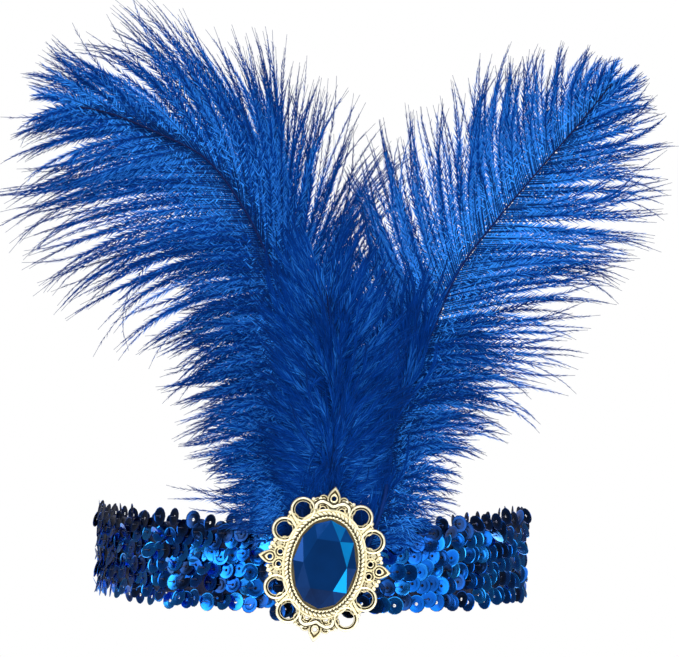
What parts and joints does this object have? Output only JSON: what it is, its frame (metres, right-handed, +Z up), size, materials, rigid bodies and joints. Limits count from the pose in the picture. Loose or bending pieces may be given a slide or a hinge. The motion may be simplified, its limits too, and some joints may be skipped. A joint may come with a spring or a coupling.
{
  "type": "showgirl feather headdress",
  "caption": "Stretch sequin head band with a pierced gilt brooch holding an oval cut stone, and curling dyed plumes that rise from behind it. Worn round the head with the plumes at the brow.",
  "frame": {"origin": "middle of the head loop, at the band's half height at the brow", "axes": "+Z up along the wearer's head, the wearer faces -Y, +X to the right of someone who looks at the brooch"},
  "size_m": [0.2359, 0.2288, 0.2239],
  "materials": {
    "sequin_band": "elastic ribbon covered with glossy blue sequins",
    "gilt_metal": "polished gilt casting",
    "blue_stone": "faceted, clear and foil-backed",
    "dyed_plume": "matt dyed ostrich plume"
  },
  "bodies": {
    "root": {"band": "sequin_band", "brooch_setting": "gilt_metal", "gem": "blue_stone", "plume_left": "dyed_plume", "plume_right": "dyed_plume", "plume_front": "dyed_plume"}
  },
  "joints": []
}
